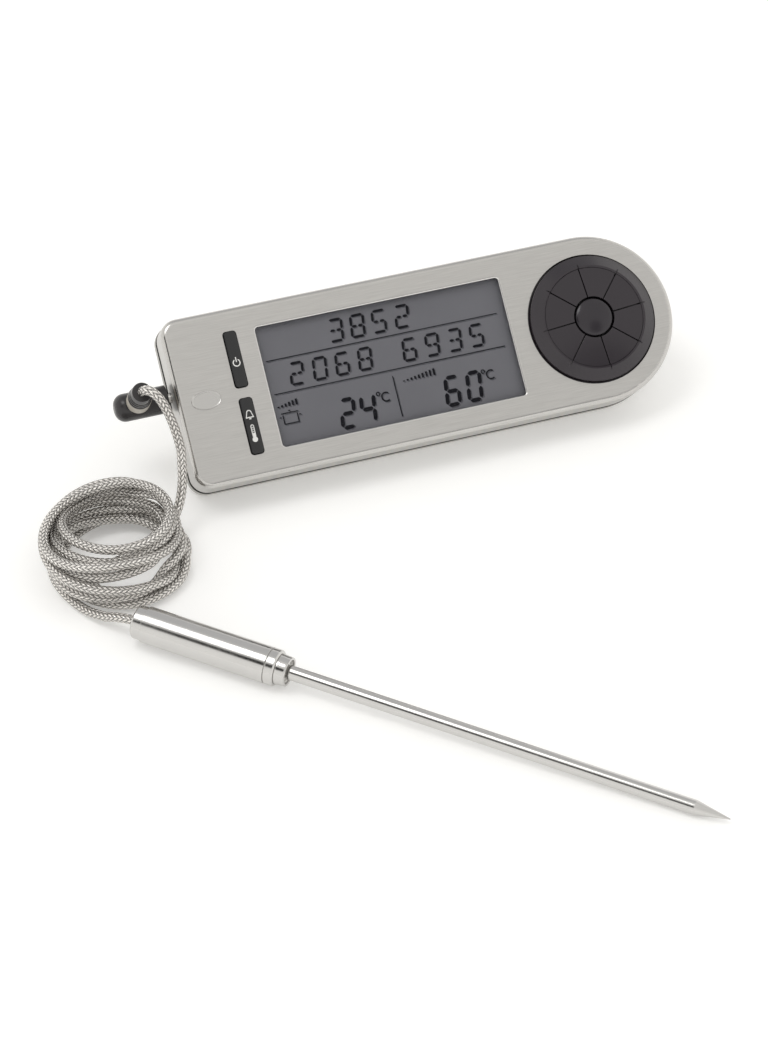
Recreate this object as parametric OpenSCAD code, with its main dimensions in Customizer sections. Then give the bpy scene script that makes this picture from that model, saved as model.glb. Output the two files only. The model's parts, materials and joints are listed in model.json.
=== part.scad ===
// Probe meat thermometer: a slim display unit that leans on a fold-out stand, with a dial,
// two keys and a wired probe whose braided cable lies coiled beside the unit.
// The unit is drawn lying flat in its own frame (x along the casing, y up its face, z out of
// its face, zero at the dial's axis on the face) and is then tilted into place.

/* [Casing] */
// Length of the casing from its square end to its round end
casing_l = 144.8; // [140:0.2:160]
// Width of the casing, which is also the diameter of its round end
casing_w = 48; // [48:0.5:52]
// Radius of the two corners at the square end
corner_r = 5; // [4.5:0.1:6]
// Rounding of the front edge
edge_r = 1.6; // [1:0.1:1.8]
// Thickness of the steel sheet
sheet_t = 0.8; // [0.6:0.1:1]
// Depth of the steel front shell
front_depth = 9.5; // [9.2:0.1:9.8]
// Height of the dark seam between the shells
seam = 1.1; // [0.9:0.1:1.2]
// Angle between the face and the table
tilt = 40; // [30:1:45]

/* [Rear shell] */
// How far the rear shell stands in from the front shell
rear_inset = 0.2; // [0.2:0.1:0.6]
// Height of the flat band of the rear shell
band_depth = 5.4; // [5.2:0.1:5.6]
// How far the rear bulge stands in from the outline
bulge_inset = 8; // [7.5:0.1:8.5]
// How far the rear bulge stands out of the band
bulge_depth = 4.1; // [4:0.1:4.2]
// Wall thickness of the rear shell
wall = 1.6; // [1.4:0.1:1.8]

/* [Display] */
// Width of the display window
window_w = 71.5; // [68:0.5:71.5]
// Height of the display window
window_h = 34.6; // [32:0.2:35]
// Distance from the dial's axis to the near edge of the window
window_x = 23.5; // [23.5:0.1:24]

/* [Dial and keys] */
// Radius of the dial's opening in the face
dial_hole_r = 18.5; // [18.3:0.1:18.7]
// Radius of the turning knob
dial_r = 18; // [17.95:0.05:18.2]
// Height of the knob above the face
dial_rise = 3.2; // [2.6:0.1:3.6]
// Radius of the button in the middle of the dial
centre_button_r = 5.3; // [5.2:0.1:5.6]
// Width of a key slot
key_w = 3.9; // [3.6:0.1:4.1]
// Length of a key slot
key_l = 16.1; // [15:0.1:16.4]

/* [Probe and cable] */
// Diameter of the braided cable
cable_d = 2.7; // [2.5:0.1:2.9]
// Diameter of the probe's handle
handle_d = 10; // [9.6:0.1:10.4]
// Length of the probe's handle
handle_l = 41.5; // [38:0.5:44]
// Diameter of the probe's needle
needle_d = 4; // [3.8:0.1:4.2]
// Length of the whole probe from the cable to its point
probe_l = 166; // [164:1:168]
// Outer diameter of the lying coil
coil_d = 43; // [42:0.5:44]
// Height of the lying coil
coil_h = 19; // [17:0.5:20]

/* [Hidden] */
$fn = 64;
eps = 0.01;
clear = 0.1;

half_w = casing_w / 2;
left_x = half_w - casing_l;
mid_x = -left_x - casing_l / 2;
seam_z = -front_depth;
band_z = seam_z - seam;
rear_z = band_z - band_depth;
back_z = rear_z - bulge_depth;
rear_edge_r = 1.5;
rear_inner_z = rear_z + wall;
recess_z = back_z + 3.6;

// Height of the dial's centre that lets the rear lower edge touch the table.
edge_y = half_w - rear_inset - rear_edge_r;
edge_z = -rear_z - rear_edge_r;
dial_h = edge_y * sin(tilt) + edge_z * cos(tilt) + rear_edge_r;

// Stand: hinge line near the top of the recess, leg square to the back when it is open.
hinge_y = 12.6;
hinge_z = back_z + 1.9;
barrel_r = 1.6;
stand_pin_r = 0.9;
pad_r = 1.3;
leg_t = 2.2;
leg_x0 = -51.5;
leg_x1 = -12.5;
leg_l = (hinge_y * sin(tilt) + hinge_z * cos(tilt) + dial_h - pad_r) / cos(tilt);

// Middle of the standing unit from front to back, which becomes y = 0.
front_y = -(half_w - edge_r) * cos(tilt) + edge_r * sin(tilt) - edge_r;
rear_y = hinge_y * cos(tilt) + (leg_l - hinge_z) * sin(tilt) + pad_r;
mid_y = -(front_y + rear_y) / 2;

// Stack behind the face.
lens_t = 1;
plate_z = -2.4;
glass_z1 = -2;
glass_z0 = -4;
board_z1 = -5.4;
board_z0 = -7;
flange_z1 = -1;
flange_z0 = -2.2;
window_mid_x = -window_x - window_w / 2;

// Keys and dial hub.
key_x = -102.1;
power_y = 9.45;
alarm_y = -9.5;
sleeve_r = 7.3;
sleeve_bore_r = 6.3;
hub_gap = 0.05;
well_r = centre_button_r + 0.55;
web_r = 10;
web_z = 0.9;
disc_r = 14.2;
disc_z0 = 1.7;
disc_z1 = dial_rise - 0.25;

// Battery bay and its cover.
cell_r = 5.2;
cell_l = 44.5;
cell_z = back_z + 1.2 + cell_r;
cell_y = 5.5;
cell_x0 = -104;
bay_x0 = cell_x0 - 2.6;
bay_x1 = cell_x0 + cell_l + 2.5;
bay_y = 11;
bay_roof_z = -7.9;
cover_y = 12.6;
cover_t = 1;
bulge_x0 = left_x + bulge_inset;

// Back magnet and screws.
magnet_r = 9.8;
magnet_t = 2.2;
magnet_proud = 0.2;
post_r = 2;
screw_r = 1;
head_r = 1.9;
post_places = [[-112, 18.9], [-112, -18.9], [12.6, 15], [12.6, -15]];
board_screw_places = [[-109, 10], [-109, -10], [8.1, 0], [-4.05, 7], [-4.05, -7]];

// Jack and plug, along the casing at the square end.
jack_y = 3.8;
jack_z = -7.4;
pin_r = 1.25;
barrel_plug_r = 3.9;
plug_x0 = -136.9;
plug_x1 = -122;
pin_l = 9;
boot_x = -130.5;
neck_lean = 5;
collar_z0 = 3.6;
boot_z0 = 7.6;
boot_z1 = 13.6;

// Where the probe lies on the table, in the standing frame.
tip_l = 9.4;
probe_dip = asin((handle_d - needle_d) / 2 / (probe_l - tip_l - handle_l));
probe_back = [-100.4, -67.2, handle_d / 2 + handle_l * sin(probe_dip) + 0.02];
probe_heading = -41.72;
cap_l = 3;
front_ring_x = handle_l - 2.8;
collar_l = 3;
collar_r = 4.2;
root_r = needle_d / 2 - 0.3;

// The lying cable, in the standing frame: from the boot to the coil, and from the coil to
// the probe.
coil_centre = [-98.5, -38, 0];
lead_route = [
    neck_point(boot_z1), neck_point(boot_z1 + 1.5), [-81.8, -12.4, 37.1],
    [-81, -13.4, 37.7], [-79.9, -14.6, 37.3], [-78.9, -15.6, 35.9], [-78, -16.6, 33.8],
    [-77.2, -17.8, 31], [-76.5, -19.2, 27.8], [-75.9, -21, 24.6], [-75.6, -23.1, 21.6],
    [-75.5, -25.4, 18.7], [-75.6, -27.9, 15.9], [-76.1, -29.9, 13.2], [-77.2, -31.6, 10.7],
    [-78.7, -32.9, 8.6]
];
tail_route = [
    [-112.6, -54, 1.4], [-111.2, -56, 1.5], [-109.2, -58.2, 2.2], [-107.2, -60.2, 3.3],
    [-105.2, -62.3, 4.5], [-103.2, -64.4, 5.5], [-101.6, -66, 6], probe_back
];

// A point of the lying unit, moved to the standing frame.
function standing(p) = [
    p[0] + mid_x,
    p[1] * cos(tilt) - p[2] * sin(tilt) + mid_y,
    p[1] * sin(tilt) + p[2] * cos(tilt) + dial_h
];

// A point on the axis of the plug's neck, in the standing frame.
function neck_point(l) =
    standing([boot_x, jack_y + l * sin(neck_lean), jack_z + l * cos(neck_lean)]);

// The cable is swept along a smooth curve through its route's points.
function spline_at(a, b, c, d, t) =
    (2 * b + (c - a) * t + (2 * a - 5 * b + 4 * c - d) * t * t
    + (3 * b - a - 3 * c + d) * t * t * t) / 2;
function smooth_route(route, steps) = let (last = len(route) - 1) concat(
    [for (i = [0:last - 1]) for (k = [0:steps - 1]) spline_at(
        route[max(i - 1, 0)], route[i], route[i + 1], route[min(i + 2, last)], k / steps)],
    [route[last]]);
function unit(v) = v / norm(v);
function tangents(points) = let (last = len(points) - 1)
    [for (i = [0:last]) unit(points[min(i + 1, last)] - points[max(i - 1, 0)])];
function upright(v, t) = unit(v - (v * t) * t);
function carried(t, v, i = 0, done = []) = i == len(t) ? done
    : let (n = upright(i == 0 ? v : done[i - 1], t[i])) carried(t, v, i + 1, concat(done, [n]));

// Tube of radius r along points, with a flat cap at each end.
module tube(points, r, sides = 8) {
    t = tangents(points);
    n = carried(t, [1, 0.1, 0.2]);
    rings = len(points);
    ring_points = [for (i = [0:rings - 1]) for (k = [0:sides - 1])
        points[i] + r * (cos(360 * k / sides) * n[i] + sin(360 * k / sides) * cross(t[i], n[i]))];
    quads = [for (i = [0:rings - 2]) for (k = [0:sides - 1]) let (j = (k + 1) % sides)
        [i * sides + k, (i + 1) * sides + k, (i + 1) * sides + j, i * sides + j]];
    start_cap = [for (k = [0:sides - 1]) k];
    end_cap = [for (k = [0:sides - 1]) rings * sides - 1 - k];
    polyhedron(ring_points, concat(quads, [start_cap, end_cap]));
}

module unit_placed() {
    translate([mid_x, mid_y, dial_h]) rotate([tilt, 0, 0]) children();
}

module probe_placed() {
    translate(probe_back) rotate([0, 0, probe_heading]) rotate([0, 90 + probe_dip, 0]) children();
}

module slab(z0, z1) {
    translate([0, 0, z0]) linear_extrude(z1 - z0) children();
}

module block(x0, x1, y0, y1, z0, z1) {
    translate([x0, y0, z0]) cube([x1 - x0, y1 - y0, z1 - z0]);
}

// Plan of the casing, drawn in by inset, with corners of radius corner at the square end.
module outline(inset, corner) {
    r = half_w - inset;
    x0 = left_x + inset;
    circle(r, $fn = 128);
    translate([x0 + corner, -r]) square([-x0 - corner, 2 * r]);
    translate([x0, -r + corner]) square([corner + 1, 2 * (r - corner)]);
    for (s = [-1, 1]) translate([x0 + corner, s * (r - corner)]) circle(corner);
}

// Rounded bead of radius r that follows the plan at one height.
module edge_bead(inset, corner, r, z) {
    run = half_w - inset - r;
    cx = left_x + inset + corner;
    cy = half_w - inset - corner;
    translate([0, 0, z]) {
        rotate([0, 0, -90]) rotate_extrude(angle = 180, $fn = 128) translate([run, 0]) circle(r, $fn = 32);
        for (s = [-1, 1]) {
            translate([cx, s * run, 0]) rotate([0, 90, 0]) cylinder(h = -cx, r = r, $fn = 32);
            translate([cx, s * cy, 0]) rotate([0, 0, s > 0 ? 90 : 180])
                rotate_extrude(angle = 90) translate([corner - r, 0]) circle(r, $fn = 32);
        }
        translate([cx - corner + r, -cy, 0]) rotate([-90, 0, 0]) cylinder(h = 2 * cy, r = r, $fn = 32);
    }
}

module rounded_box(w, h, r) {
    square([w - 2 * r, h], center = true);
    square([w, h - 2 * r], center = true);
    for (sx = [-1, 1]) for (sy = [-1, 1]) translate([sx * (w / 2 - r), sy * (h / 2 - r)]) circle(r);
}

module post_circles(r) {
    for (p = post_places) translate(p) circle(r);
}

module key_slot(grow) {
    rounded_box(key_w + 2 * grow, key_l + 2 * grow, 1);
}

// Steel tray that carries the face.
module front_shell() {
    color([0.78, 0.78, 0.76]) unit_placed() difference() {
        union() {
            slab(seam_z, -edge_r) outline(0, corner_r);
            slab(seam_z, 0) outline(edge_r, corner_r - edge_r);
            edge_bead(0, corner_r, edge_r, -edge_r);
            badge_pill();
        }
        slab(seam_z - 1, -sheet_t) outline(sheet_t, corner_r - sheet_t);
        slab(-2, 2) translate([window_mid_x, 0]) rounded_box(window_w, window_h, 1.2);
        for (y = [power_y, alarm_y]) slab(-2, 2) translate([key_x, y]) key_slot(0);
        slab(-2, 2) circle(dial_hole_r, $fn = 128);
        translate([left_x - 1, jack_y, jack_z]) rotate([0, 90, 0]) cylinder(h = 4, r = pin_r + 0.35);
    }
}

// Blank raised pill beside the keys.
module badge_pill() {
    slab(-eps, 0.15) translate([-112.6, 0]) {
        square([3.8, 4.4], center = true);
        for (s = [-1, 1]) translate([1.9 * s, 0]) circle(2.2);
    }
}

// Moulded frame behind the sheet: it locates the display, the keys and the dial.
module inner_frame() {
    color([0.12, 0.12, 0.13]) unit_placed() difference() {
        union() {
            slab(plate_z, -sheet_t) outline(sheet_t + clear, corner_r - sheet_t - clear);
            difference() {
                slab(seam_z + clear, -sheet_t) outline(sheet_t + clear, corner_r - sheet_t - clear);
                slab(seam_z, 0) outline(2.1, corner_r - 2.1);
            }
            slab(rear_inner_z + clear, plate_z + eps) post_circles(post_r);
            slab(board_z1, plate_z + eps) for (i = [0, 1]) translate(board_screw_places[i]) circle(1.8);
        }
        slab(-4, 0) translate([window_mid_x, 0]) square([window_w + 4.6, 39.6], center = true);
        for (y = [power_y, alarm_y]) slab(-4, 0) translate([key_x, y]) key_slot(0.9);
        slab(-4, 0) circle(dial_hole_r + 1.1, $fn = 128);
        translate([left_x, jack_y, jack_z]) rotate([0, 90, 0]) cylinder(h = 4, r = 2.05);
        slab(rear_z, -8) post_circles(0.8);
        slab(board_z0, -3) for (i = [0, 1]) translate(board_screw_places[i]) circle(0.7);
    }
}

// Black seal that shows as the dark line between the shells.
module case_gasket() {
    color([0.08, 0.08, 0.08]) unit_placed() difference() {
        slab(band_z, seam_z) outline(0.9, corner_r - 0.9);
        slab(band_z - 1, seam_z + 1) outline(2.3, corner_r - 2.3);
        slab(band_z - 1, seam_z + 1) post_circles(post_r + clear);
    }
}

module battery_bay_walls() {
    block(bay_x0 - 1, bay_x1 + 1, -bay_y - 1, bay_y + 1, back_z + 0.5, bay_roof_z + 0.8);
}

// Moulded back: band, bulge, battery bay, stand recess and magnet pocket.
module rear_shell() {
    color([0.72, 0.72, 0.71]) unit_placed() difference() {
        union() {
            difference() {
                union() {
                    slab(rear_z + rear_edge_r, band_z) outline(rear_inset, corner_r - rear_inset);
                    slab(rear_z, band_z) outline(rear_inset + rear_edge_r, corner_r - rear_inset - rear_edge_r);
                    edge_bead(rear_inset, corner_r - rear_inset, rear_edge_r, rear_z + rear_edge_r);
                    slab(back_z, rear_z + 1) outline(bulge_inset, 4);
                }
                slab(rear_inner_z, 0) outline(rear_inset + wall, corner_r - rear_inset - wall);
                slab(back_z + wall, 0) outline(bulge_inset + wall, 2.4);
            }
            battery_bay_walls();
            block(leg_x0 - 1.7, leg_x1 + 1.7, -16, 16, back_z, recess_z + wall);
            slab(back_z, back_z + 3.4) circle(magnet_r + 1.6);
        }
        block(bay_x0, bay_x1, -bay_y, bay_y, back_z - 1, bay_roof_z);
        block(bulge_x0 - 1, bay_x1 + 0.7, -cover_y - clear, cover_y + clear, back_z - 1, back_z + cover_t + clear);
        block(bulge_x0 - 1, bay_x1 + 0.7, -cover_y - 0.9, cover_y + 0.9, back_z + 0.5, back_z + cover_t + clear);
        block(leg_x0 - 0.5, leg_x1 + 0.5, -15.2, 15.2, back_z - 1, recess_z);
        slab(back_z - 1, back_z + magnet_t - magnet_proud) circle(magnet_r + 0.05);
        slab(rear_z - 1, rear_inner_z + 1) post_circles(screw_r + 0.15);
        slab(rear_z - 1, rear_z + 1.2) post_circles(head_r + 0.15);
        translate([leg_x0 - 1.6, hinge_y, hinge_z]) rotate([0, 90, 0])
            cylinder(h = leg_x1 - leg_x0 + 3.2, r = stand_pin_r);
        translate([left_x, jack_y, jack_z]) rotate([0, 90, 0]) cylinder(h = 13.4, r = 3.9);
    }
}

// Clear window behind the sheet.
module display_lens() {
    color([0.9, 0.93, 0.95, 0.4]) unit_placed()
        slab(-sheet_t - lens_t, -sheet_t) translate([window_mid_x, 0]) rounded_box(window_w + 2.4, window_h + 2.4, 2);
}

module lcd_panel() {
    color([0.45, 0.47, 0.5]) unit_placed()
        slab(glass_z0, glass_z1) translate([window_mid_x, 0]) square([window_w + 4, 38.8], center = true);
}

module lcd_reflector() {
    color([0.85, 0.85, 0.83]) unit_placed()
        slab(glass_z0 - 0.4, glass_z0) translate([window_mid_x, 0]) square([window_w, 33], center = true);
}

// Rubber strips that join the display's edge to the board.
module contact_strips() {
    color([0.75, 0.55, 0.55]) unit_placed() for (s = [-1, 1])
        block(-94, -26, s * 18 - 0.8, s * 18 + 0.8, board_z1, glass_z0);
}

module main_board() {
    color([0.1, 0.35, 0.2]) unit_placed() difference() {
        slab(board_z0, board_z1) outline(2.6, corner_r - 2.6);
        slab(board_z0 - 1, board_z1 + 1) post_circles(post_r + 0.3);
        slab(board_z0 - 1, board_z1 + 1) for (p = board_screw_places) translate(p) circle(0.85);
        block(left_x, -107, jack_y - 3.8, jack_y + 3.8, board_z0 - 1, board_z1 + 1);
    }
}

module board_chips() {
    color([0.15, 0.15, 0.16]) unit_placed() {
        block(-52, -43, 3, 12, board_z0 - 1.4, board_z0);
        block(-30, -24, 6, 11, board_z0 - 1.2, board_z0);
        block(-20, -16, -4, 0, board_z0 - 1, board_z0);
        for (i = [0:3]) block(-12 + 3 * i, -10 + 3 * i, -14, -12.8, board_z0 - 0.8, board_z0);
    }
}

module buzzer() {
    color([0.1, 0.1, 0.1]) unit_placed() translate([-40, -6, board_z0 - 4]) difference() {
        cylinder(h = 4, r = 6);
        translate([0, 0, -1]) cylinder(h = 3, r = 1);
    }
}

// Press switches under the two keys and the centre button.
module switch_at(x, y) {
    translate([x, y, board_z1]) {
        translate([-2.2, -2.2, 0]) cube([4.4, 4.4, 1.3]);
        cylinder(h = 1.7, r = 1);
    }
}

module switches() {
    color([0.6, 0.6, 0.6]) unit_placed() {
        switch_at(key_x, power_y);
        switch_at(key_x, alarm_y);
        switch_at(0, 0);
    }
}

// Key cap with a crowned top, a flange that holds it behind the sheet, and a short stem.
module key_cap(y) {
    crown_r = 5;
    color([0.07, 0.07, 0.07]) unit_placed() translate([key_x, y, 0]) {
        intersection() {
            slab(flange_z1 - eps, 1) key_slot(-0.22);
            translate([0, key_l / 2, 0.75 - crown_r]) rotate([90, 0, 0]) cylinder(h = key_l, r = crown_r);
        }
        slab(flange_z0 + 0.3, flange_z1) rounded_box(key_w + 1.2, key_l + 1.2, 1);
        translate([0, 0, -3]) cylinder(h = 2, r = 1.2);
    }
}

module power_button() {
    key_cap(power_y);
}

module alarm_button() {
    key_cap(alarm_y);
}

// Rim of the turning knob: flange behind the sheet, side, bevel, lip and the web under the disc.
module dial() {
    color([0.2, 0.19, 0.2]) unit_placed() difference() {
        rotate_extrude($fn = 128) polygon([
            [web_r, web_z], [web_r, disc_z0], [disc_r, disc_z0], [disc_r, disc_z1], [14.35, dial_rise],
            [14.8, dial_rise], [17.9, 1.1], [dial_r, 0.8], [dial_r, flange_z1], [19.3, flange_z1],
            [19.3, flange_z0], [16.9, flange_z0], [16.9, web_z]
        ]);
        grooves(disc_r - 0.2, 15.6, disc_z1 - 0.3);
    }
}

// Sunk disc of the knob, parted by its eight grooves.
module dial_sectors() {
    color([0.2, 0.19, 0.2]) unit_placed() difference() {
        slab(disc_z0, disc_z1) circle(disc_r, $fn = 128);
        slab(disc_z0 - 1, disc_z1 + 1) circle(well_r);
        grooves(well_r - 1, disc_r + 1, disc_z0 - 1);
    }
}

module grooves(r0, r1, z) {
    groove_w = 0.3;
    for (i = [0:7]) rotate([0, 0, 4.5 + 45 * i]) translate([r0, -groove_w / 2, z]) cube([r1 - r0, groove_w, 4]);
}

// Hub under the disc, which turns on the fixed sleeve.
module dial_hub() {
    hub_z = -3.3;
    hub_r = 9.2;
    color([0.15, 0.15, 0.15]) unit_placed() rotate_extrude($fn = 128) polygon([
        [sleeve_r + hub_gap, hub_z], [hub_r, hub_z], [hub_r, web_z], [web_r, web_z], [web_r, disc_z0],
        [sleeve_r + hub_gap, disc_z0]
    ]);
}

// Brass contact ring that turns under the knob.
module dial_wiper() {
    color([0.8, 0.65, 0.3]) unit_placed() {
        slab(-3.8, -3.3) difference() {
            circle(14);
            circle(sleeve_r + 0.5);
        }
        for (i = [0:2]) rotate([0, 0, 120 * i + 60]) translate([12.4, 0, -5.2]) cylinder(h = 1.5, r = 0.7);
    }
}

// Fixed sleeve that the knob turns on and the centre button slides in.
module dial_bearing() {
    color([0.85, 0.85, 0.8]) unit_placed() difference() {
        union() {
            slab(board_z1, 1.5) circle(sleeve_r);
            slab(board_z1, -4.4) circle(9.4);
        }
        slab(board_z1 - 1, 2) circle(sleeve_bore_r);
        slab(board_z1 - 1, -4.7) for (i = [2:4]) translate(board_screw_places[i]) circle(0.65);
    }
}

// Leaf spring that gives the dial its clicks.
module detent_spring() {
    color([0.8, 0.8, 0.82]) unit_placed() rotate([0, 0, 110]) {
        block(15.2, 17.6, -5, -3, board_z1, board_z1 + 0.3);
        block(15.8, 17, -3.4, -3.1, board_z1, -3.4);
        block(15.8, 17, -3.4, 3, -3.7, -3.4);
        translate([16.4, 2, -3.4]) cylinder(h = 0.9, r = 0.5);
    }
}

// Domed button in the middle of the dial.
module centre_button() {
    dome_r = 24;
    color([0.16, 0.16, 0.17]) unit_placed() intersection() {
        slab(1, 4) circle(centre_button_r);
        translate([0, 0, 3.4 - dome_r]) sphere(dome_r, $fn = 96);
    }
}

// Guide under the centre button, held in the sleeve by its own flange.
module button_plunger() {
    color([0.15, 0.15, 0.15]) unit_placed() {
        slab(-1.6, 1) circle(centre_button_r - 0.2);
        slab(-2.4, -1.6) circle(sleeve_bore_r - 0.1);
        slab(-3, -2.4) circle(1.2);
    }
}

module jack_socket() {
    color([0.1, 0.1, 0.1]) unit_placed() difference() {
        union() {
            block(-118.2, -107.8, jack_y - 3.4, jack_y + 3.4, jack_z - 2.6, jack_z + 3.2);
            translate([-119.9, jack_y, jack_z]) rotate([0, 90, 0]) cylinder(h = 3, r = 1.9);
        }
        translate([-121, jack_y, jack_z]) rotate([0, 90, 0]) cylinder(h = 12.2, r = pin_r + 0.05);
    }
}

module batteries() {
    color([0.2, 0.25, 0.3]) unit_placed() for (s = [-1, 1]) translate([cell_x0, s * cell_y, cell_z]) {
        tip = s > 0 ? cell_l - 0.9 : 0;
        translate([s > 0 ? 0 : 0.9, 0, 0]) rotate([0, 90, 0]) cylinder(h = cell_l - 0.9, r = cell_r);
        translate([tip, 0, 0]) rotate([0, 90, 0]) cylinder(h = 0.9, r = 1.9);
    }
}

// Steel springs at the flat ends of the two cells.
module battery_springs() {
    turns = 3;
    color([0.8, 0.8, 0.82]) unit_placed() for (s = [-1, 1]) {
        x0 = s > 0 ? bay_x0 + 0.7 : bay_x1 - 0.7;
        tube([for (i = [0:12 * turns]) [x0 + s * 1.5 * i / (12 * turns),
            s * cell_y + (3.2 - 0.5 * i / 12) * cos(30 * i), cell_z + (3.2 - 0.5 * i / 12) * sin(30 * i)]], 0.2, 6);
    }
}

module battery_plates() {
    color([0.8, 0.8, 0.8]) unit_placed() {
        for (s = [-1, 1]) block(bay_x0 + 0.05, bay_x0 + 0.35, s * cell_y - 4, s * cell_y + 4, cell_z - 4, cell_z + 4);
        block(bay_x1 - 0.35, bay_x1 - 0.05, -cell_y - 4, cell_y + 4, cell_z - 4, cell_z + 4);
    }
}

// Sliding lid with side tongues and ribs for the thumb.
module battery_cover() {
    x1 = bay_x1 + 0.6;
    color([0.7, 0.7, 0.69]) unit_placed() {
        block(bulge_x0, x1, -cover_y, cover_y, back_z, back_z + cover_t);
        block(bulge_x0 + 1, x1, -cover_y - 0.8, cover_y + 0.8, back_z + 0.6, back_z + cover_t);
        for (i = [0:4]) block(bulge_x0 + 4 + 2 * i, bulge_x0 + 4.8 + 2 * i, -6, 6, back_z - 0.3, back_z);
    }
}

// Fold-out leg on a hinge pin.
module stand() {
    span = leg_x1 - leg_x0;
    color([0.7, 0.7, 0.69]) unit_placed() translate([leg_x0, hinge_y, hinge_z]) difference() {
        union() {
            rotate([0, 90, 0]) cylinder(h = span, r = barrel_r);
            translate([0, -leg_t / 2, pad_r - leg_l]) cube([span, leg_t, leg_l - pad_r]);
        }
        translate([-1, 0, 0]) rotate([0, 90, 0]) cylinder(h = span + 2, r = stand_pin_r + 0.05);
        for (i = [0:2]) translate([4, leg_t / 2 - 0.4, -10 - 4 * i]) cube([span - 8, 1, 1.2]);
    }
}

module stand_pin() {
    color([0.8, 0.8, 0.82]) unit_placed() translate([leg_x0 - 1.6, hinge_y, hinge_z])
        rotate([0, 90, 0]) cylinder(h = leg_x1 - leg_x0 + 3.2, r = stand_pin_r);
}

// Rubber foot on the end of the leg.
module stand_pad() {
    span = leg_x1 - leg_x0;
    color([0.1, 0.1, 0.1]) unit_placed() translate([leg_x0, hinge_y, hinge_z - leg_l]) {
        rotate([0, 90, 0]) cylinder(h = span, r = pad_r);
        translate([0, -pad_r, 0]) cube([span, 2 * pad_r, pad_r]);
    }
}

module magnet() {
    color([0.3, 0.3, 0.32]) unit_placed() slab(back_z - magnet_proud, back_z + magnet_t - magnet_proud) circle(magnet_r);
}

module screw(head, shank, length) {
    difference() {
        cylinder(h = 0.9, r = head);
        translate([-0.9, -0.2, -1]) cube([1.8, 0.4, 1.4]);
        translate([-0.2, -0.9, -1]) cube([0.4, 1.8, 1.4]);
    }
    translate([0, 0, 0.8]) cylinder(h = length, r = shank);
}

module case_screws() {
    color([0.7, 0.7, 0.72]) unit_placed() for (p = post_places)
        translate([p[0], p[1], rear_z + 0.25]) screw(head_r, 0.8, 6.4);
}

module board_screws() {
    color([0.7, 0.7, 0.72]) unit_placed() for (i = [0:4])
        translate([board_screw_places[i][0], board_screw_places[i][1], board_z0 - 0.9])
            screw(1.4, i < 2 ? 0.7 : 0.65, i < 2 ? 4 : 2.2);
}

// Right-angle plug: domed barrel along the casing, which carries the neck.
module plug_body() {
    dome = 3;
    length = plug_x1 - plug_x0;
    color([0.08, 0.08, 0.08]) unit_placed() {
        translate([plug_x0, jack_y, jack_z]) rotate([0, 90, 0]) rotate_extrude() {
            square([barrel_plug_r - dome, dome + 1]);
            intersection() {
                translate([barrel_plug_r - dome, dome]) circle(dome);
                square([barrel_plug_r, dome]);
            }
            translate([0, dome]) square([barrel_plug_r, length - dome]);
        }
    }
}

// Moves a shape drawn upright on the origin onto the barrel's axis, as the plug's neck.
module neck_placed() {
    translate([boot_x, jack_y, jack_z]) rotate([-neck_lean, 0, 0]) children();
}

module plug_pin() {
    color([0.8, 0.8, 0.82]) unit_placed() translate([plug_x1, jack_y, jack_z]) rotate([0, 90, 0]) {
        cylinder(h = pin_l, r = pin_r);
        translate([0, 0, pin_l + 0.4]) cylinder(h = 1.4, r1 = pin_r, r2 = pin_r);
        translate([0, 0, pin_l + 1.8]) cylinder(h = 1.2, r1 = pin_r, r2 = 0.5);
    }
}

module plug_insulator() {
    color([0.05, 0.05, 0.05]) unit_placed() translate([plug_x1 + pin_l, jack_y, jack_z])
        rotate([0, 90, 0]) cylinder(h = 0.4, r = pin_r);
}

module plug_collar() {
    color([0.7, 0.68, 0.62]) unit_placed() neck_placed() translate([0, 0, collar_z0]) difference() {
        cylinder(h = boot_z0 - collar_z0, r = 3.35);
        translate([-6, 0, -collar_z0]) rotate([0, 90, 0]) cylinder(h = 12, r = barrel_plug_r + 0.02);
    }
}

// Ribbed strain relief where the cable leaves the plug.
module plug_boot() {
    rise = boot_z1 - boot_z0;
    color([0.07, 0.07, 0.07]) unit_placed() neck_placed() translate([0, 0, boot_z0]) difference() {
        cylinder(h = rise, r1 = 3.3, r2 = 2.7);
        for (i = [0:2]) translate([0, 0, 0.6 + 1.2 * i]) difference() {
            cylinder(h = 0.45, r = 5);
            translate([0, 0, -1]) cylinder(h = 3, r = 2.5);
        }
    }
}

module cable_lead() {
    color([0.6, 0.6, 0.58]) tube(smooth_route(lead_route, 2), cable_d / 2);
}

// Outer shape of the cable's lying coil.
module cable_coil() {
    r = 3;
    ring_w = 8.5;
    color([0.6, 0.6, 0.58]) translate(coil_centre) rotate_extrude($fn = 96)
        translate([coil_d / 2 - ring_w / 2, coil_h / 2]) rounded_box(ring_w, coil_h, r);
}

module cable_tail() {
    color([0.6, 0.6, 0.58]) tube(smooth_route(tail_route, 2), cable_d / 2);
}

// Probe pieces, drawn along the probe's own axis from its cable end.
module probe_end_cap() {
    color([0.8, 0.8, 0.8]) probe_placed() {
        cylinder(h = 0.5, r1 = handle_d / 2 - 0.9, r2 = handle_d / 2 - 0.4);
        translate([0, 0, 0.5]) cylinder(h = cap_l - 0.5, r = handle_d / 2 - 0.4);
    }
}

module probe_handle() {
    color([0.83, 0.83, 0.83]) probe_placed() translate([0, 0, cap_l]) difference() {
        cylinder(h = front_ring_x - cap_l, r = handle_d / 2);
        translate([0, 0, -1]) cylinder(h = front_ring_x, r = handle_d / 2 - 1);
    }
}

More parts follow.
